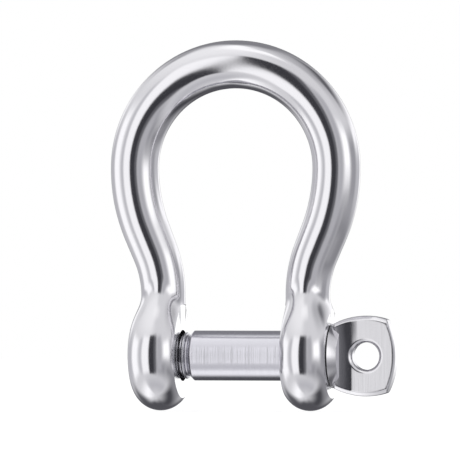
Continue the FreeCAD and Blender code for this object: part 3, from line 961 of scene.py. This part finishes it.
def soft_card_group():
    """A node group that lays one soft-edged card over the sky so far."""
    tree = bpy.data.node_groups.new("Soft card", "ShaderNodeTree")
    for label in ("Azimuth", "Elevation", "Card azimuth", "Card elevation",
                  "Half width", "Half height", "Softness"):
        tree.interface.new_socket(label, in_out="INPUT", socket_type="NodeSocketFloat")
    for label in ("Sky", "Card"):
        tree.interface.new_socket(label, in_out="INPUT", socket_type="NodeSocketColor")
    tree.interface.new_socket("Sky", in_out="OUTPUT", socket_type="NodeSocketColor")
    given = add_node(tree, "NodeGroupInput").outputs
    end = add_node(tree, "NodeGroupOutput")
    masks = []
    for look, card, half in (("Azimuth", "Card azimuth", "Half width"),
                             ("Elevation", "Card elevation", "Half height")):
        apart = add_node(tree, "ShaderNodeMath", {"operation": "SUBTRACT"}, {0: given[look], 1: given[card]})
        wrapped = add_node(tree, "ShaderNodeMath", {"operation": "WRAP"}, {0: apart.outputs[0]},
                           {1: 180.0, 2: -180.0})
        away = add_node(tree, "ShaderNodeMath", {"operation": "ABSOLUTE"}, {0: wrapped.outputs[0]})
        far = add_node(tree, "ShaderNodeMath", {"operation": "ADD"}, {0: given[half], 1: given["Softness"]})
        near = add_node(tree, "ShaderNodeMath", {"operation": "SUBTRACT"},
                        {0: given[half], 1: given["Softness"]})
        masks.append(add_node(tree, "ShaderNodeMapRange", {"interpolation_type": "SMOOTHSTEP"},
                              {"Value": away.outputs[0],
                               "From Min": far.outputs[0], "From Max": near.outputs[0]}))
    both = add_node(tree, "ShaderNodeMath", {"operation": "MULTIPLY"},
                    {0: masks[0].outputs[0], 1: masks[1].outputs[0]})
    laid = add_node(tree, "ShaderNodeMix", {"data_type": "RGBA"},
                    {"Factor": both.outputs[0], "A": given["Sky"], "B": given["Card"]})
    tree.links.new(laid.outputs["Result"], end.inputs[0])
    return tree


def studio_world(scene, camera_azimuth):
    """A white tent for the camera; in reflections, soft cards hung round the object."""
    world = bpy.data.worlds.new("Studio")
    scene.world = world
    world.use_nodes = True
    tree = world.node_tree
    tree.nodes.clear()
    place = add_node(tree, "ShaderNodeTexCoord")
    turned = add_node(tree, "ShaderNodeVectorRotate", {"rotation_type": "Z_AXIS"},
                      {"Vector": place.outputs["Generated"]}, {"Angle": -camera_azimuth})
    way = add_node(tree, "ShaderNodeSeparateXYZ", links={0: turned.outputs[0]})
    front = add_node(tree, "ShaderNodeMath", {"operation": "MULTIPLY"}, {0: way.outputs["Y"]}, {1: -1.0})
    around = add_node(tree, "ShaderNodeMath", {"operation": "ARCTAN2"},
                      {0: way.outputs["X"], 1: front.outputs[0]})
    azimuth = add_node(tree, "ShaderNodeMath", {"operation": "DEGREES"}, {0: around.outputs[0]})
    rise = add_node(tree, "ShaderNodeMath", {"operation": "ARCSINE"}, {0: way.outputs["Z"]})
    elevation = add_node(tree, "ShaderNodeMath", {"operation": "DEGREES"}, {0: rise.outputs[0]})
    group = soft_card_group()
    sky = add_node(tree, "ShaderNodeRGB")
    sky.outputs[0].default_value = steel_grey(AMBIENT)
    sky = sky.outputs[0]
    for name, az, el, wide, high, soft, grey in CARDS:
        card = add_node(tree, "ShaderNodeGroup", {"node_tree": group, "label": name},
                        {"Azimuth": azimuth.outputs[0], "Elevation": elevation.outputs[0], "Sky": sky},
                        {"Card azimuth": az, "Card elevation": el, "Half width": wide, "Half height": high,
                         "Softness": soft, "Card": steel_grey(grey)})
        sky = card.outputs[0]
    seen = add_node(tree, "ShaderNodeLightPath")
    shown = add_node(tree, "ShaderNodeMix", {"data_type": "RGBA"},
                     {"Factor": seen.outputs["Is Camera Ray"], "A": sky}, {"B": (1.0, 1.0, 1.0, 1.0)})
    light = add_node(tree, "ShaderNodeBackground", links={"Color": shown.outputs["Result"]})
    add_node(tree, "ShaderNodeOutputWorld", links={"Surface": light.outputs[0]})


class SHACKLE_OT_stage(bpy.types.Operator):
    """Lay the pale floor, hang the soft cards and set the camera"""
    bl_idname = "shackle.stage"
    bl_label = "Make the stage"

    def execute(self, context):
        scene = context.scene
        studio = scene.shackle_studio
        scene.view_settings.view_transform = "Standard"
        studio_world(scene, studio.azimuth)
        side = Vector((math.cos(studio.azimuth), math.sin(studio.azimuth), 0.0))
        toward = Vector((math.sin(studio.azimuth), -math.cos(studio.azimuth), 0.0))
        centre = side * (VIEW_ASIDE * MM) + Vector((0, 0, VIEW_HEIGHT * MM))
        camera = bpy.data.objects.new("camera", bpy.data.cameras.new("camera"))
        scene.collection.objects.link(camera)
        scene.camera = camera
        camera.data.sensor_width = SENSOR
        camera.data.lens = SENSOR * studio.reach / studio.view_width
        camera.data.clip_end = 10.0
        camera.location = centre + toward * studio.reach
        camera.rotation_euler = (-toward).to_track_quat("-Z", "Y").to_euler()
        self.lay_floor(CAD_LOW[2] - studio.floor_gap)
        return {"FINISHED"}

    def lay_floor(self, height):
        """A pale round sheet just under the object, bright enough to melt into the white tent."""
        turns = [TURN * i / 96 for i in range(96)]
        rim = [(600 * math.cos(a), 600 * math.sin(a), height / MM) for a in turns]
        floor = new_object("floor", rim, [tuple(range(96))], smooth=False)
        paper = bpy.data.materials.new("Matt white paper")
        paper.use_nodes = True
        tree = paper.node_tree
        tree.nodes.clear()
        matt = add_node(tree, "ShaderNodeBsdfDiffuse", values={"Color": (0.35, 0.35, 0.35, 1.0)})
        glow = add_node(tree, "ShaderNodeEmission", values={"Strength": 0.85})
        both = add_node(tree, "ShaderNodeAddShader", links={0: matt.outputs[0], 1: glow.outputs[0]})
        add_node(tree, "ShaderNodeOutputMaterial", links={"Surface": both.outputs[0]})
        floor.data.materials.append(paper)
        floor.visible_glossy = False


class SHACKLE_PT_panel(bpy.types.Panel):
    """Steps of the shackle"""
    bl_idname = "SHACKLE_PT_panel"
    bl_label = "Bow Shackle"
    bl_space_type = "VIEW_3D"
    bl_region_type = "UI"
    bl_category = "Shackle"

    def draw(self, context):
        for step in STEPS:
            self.layout.operator(step.bl_idname)
        for name, group in GROUPS.items():
            box = self.layout.box()
            held = getattr(context.scene, name)
            for label in group.__annotations__:
                box.prop(held, label)


STEPS = (SHACKLE_OT_bow, SHACKLE_OT_pin, SHACKLE_OT_ring, SHACKLE_OT_stage)
GROUPS = {
    "shackle_bow": ShackleBowSizes,
    "shackle_pin": ShacklePinSizes,
    "shackle_finish": ShackleFinish,
    "shackle_studio": ShackleStudio,
}


def register():
    """Make the sizes, the operators and the panel known."""
    for name, group in GROUPS.items():
        bpy.utils.register_class(group)
        setattr(bpy.types.Scene, name, PointerProperty(type=group))
    for item in STEPS + (SHACKLE_PT_panel,):
        bpy.utils.register_class(item)


def unregister():
    """Forget them again."""
    for item in (SHACKLE_PT_panel,) + STEPS:
        bpy.utils.unregister_class(item)
    for name, group in GROUPS.items():
        delattr(bpy.types.Scene, name)
        bpy.utils.unregister_class(group)


def main():
    """Build all pieces and the stage."""
    register()
    bpy.ops.shackle.bow()
    bpy.ops.shackle.pin()
    bpy.ops.shackle.ring()
    bpy.ops.shackle.stage()
    bpy.context.view_layer.update()


if __name__ == "__main__":
    main()
